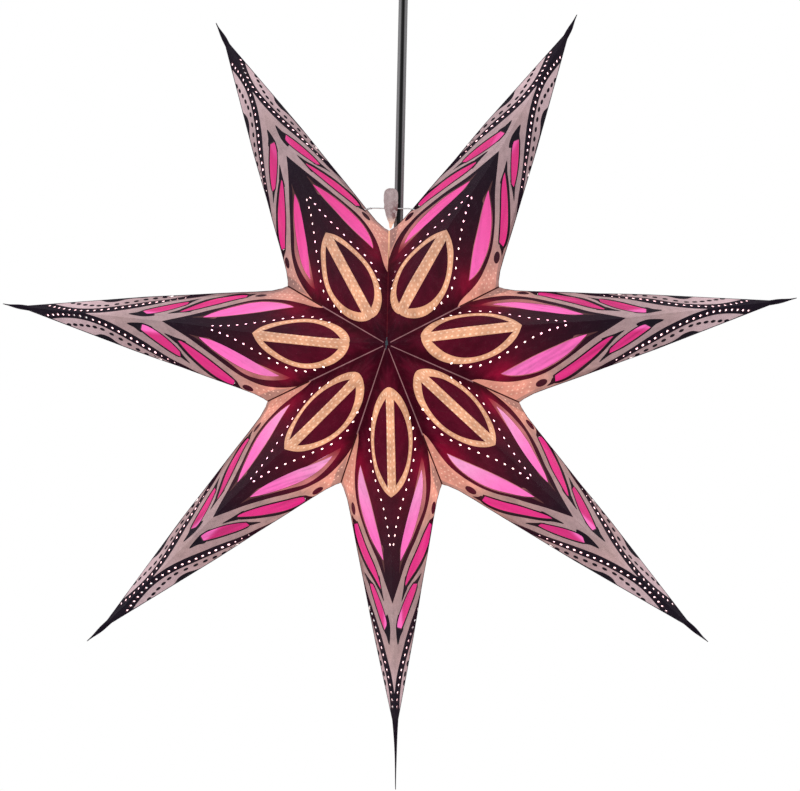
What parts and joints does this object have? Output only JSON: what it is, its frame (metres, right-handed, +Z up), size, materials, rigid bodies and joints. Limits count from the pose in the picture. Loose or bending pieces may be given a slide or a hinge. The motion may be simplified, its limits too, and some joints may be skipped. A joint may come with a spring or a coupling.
{
  "type": "paper star lantern",
  "caption": "Folded paper star lantern with pointed arms, cut-out petals backed with tissue, an inner lamp and a cord to a ceiling rose.",
  "frame": {"origin": "middle of the ceiling plate's flat top face, where the rose meets the ceiling", "axes": "+Z up into the ceiling, -Y towards the star's front, +X to the right seen from the front"},
  "size_m": [0.5985, 0.2136, 0.66],
  "materials": {
    "printed_paper": "matte",
    "petal_tissue": "matte",
    "plain_paper": "matte",
    "cord_skin": "gloss",
    "black_plastic": "satin",
    "rose_plastic": "satin",
    "steel": "satin",
    "brass": "satin",
    "thread": "matte",
    "bulb_glass": "frosted"
  },
  "bodies": {
    "root": {"arm_1": "printed_paper", "arm_1_tissue_front_before": "petal_tissue", "arm_1_tissue_front_after": "petal_tissue", "arm_1_tissue_back_before": "petal_tissue", "arm_1_tissue_back_after": "petal_tissue", "arm_2": "printed_paper", "arm_2_tissue_front_before": "petal_tissue", "arm_2_tissue_front_after": "petal_tissue", "arm_2_tissue_back_before": "petal_tissue", "arm_2_tissue_back_after": "petal_tissue", "arm_3": "printed_paper", "arm_3_tissue_front_before": "petal_tissue", "arm_3_tissue_front_after": "petal_tissue", "arm_3_tissue_back_before": "petal_tissue", "arm_3_tissue_back_after": "petal_tissue", "arm_4": "printed_paper", "arm_4_tissue_front_before": "petal_tissue", "arm_4_tissue_front_after": "petal_tissue", "arm_4_tissue_back_before": "petal_tissue", "arm_4_tissue_back_after": "petal_tissue", "arm_5": "printed_paper", "arm_5_tissue_front_before": "petal_tissue", "arm_5_tissue_front_after": "petal_tissue", "arm_5_tissue_back_before": "petal_tissue", "arm_5_tissue_back_after": "petal_tissue", "arm_6": "printed_paper", "arm_6_tissue_front_before": "petal_tissue", "arm_6_tissue_front_after": "petal_tissue", "arm_6_tissue_back_before": "petal_tissue", "arm_6_tissue_back_after": "petal_tissue", "arm_7": "printed_paper", "arm_7_tissue_front_before": "petal_tissue", "arm_7_tissue_front_after": "petal_tissue", "arm_7_tissue_back_before": "petal_tissue", "arm_7_tissue_back_after": "petal_tissue", "closing_wire": "steel", "closing_tongue": "plain_paper", "front_knot": "thread", "holder_grip": "black_plastic", "holder_cap": "black_plastic", "holder_body": "black_plastic", "centre_contact": "brass", "bulb": "bulb_glass", "rose_plate": "steel", "rose_cup": "rose_plastic", "rose_grip": "rose_plastic", "rose_nut": "rose_plastic", "rose_screw_left": "steel", "rose_screw_right": "steel", "cord": "cord_skin"}
  },
  "joints": []
}
